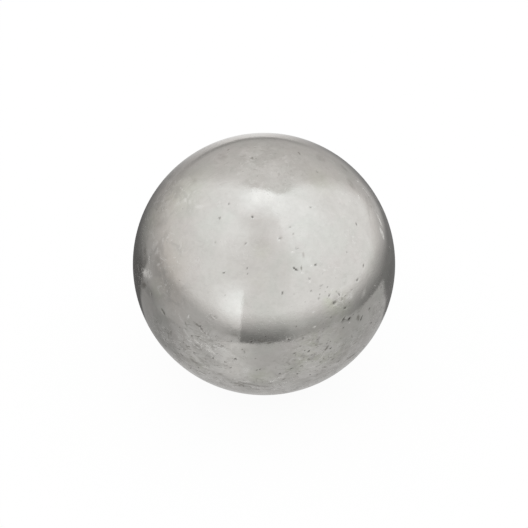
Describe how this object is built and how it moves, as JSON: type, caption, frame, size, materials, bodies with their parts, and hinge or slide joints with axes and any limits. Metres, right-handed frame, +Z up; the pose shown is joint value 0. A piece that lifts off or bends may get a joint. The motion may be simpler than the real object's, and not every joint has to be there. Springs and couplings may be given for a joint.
{
  "type": "steel ball",
  "caption": "Solid steel ball, worn dull and finely pitted, that rolls, weighs down or runs in a seat.",
  "frame": {"origin": "centre of the ball", "axes": "+Z up through the top of the ball, front of the ball towards -Y, +X to its right"},
  "size_m": [0.0508, 0.0508, 0.0508],
  "materials": {
    "steel": "once polished, now dulled and stained, with pits, nicks and fine scratches"
  },
  "bodies": {
    "root": {"ball": "steel"}
  },
  "joints": []
}
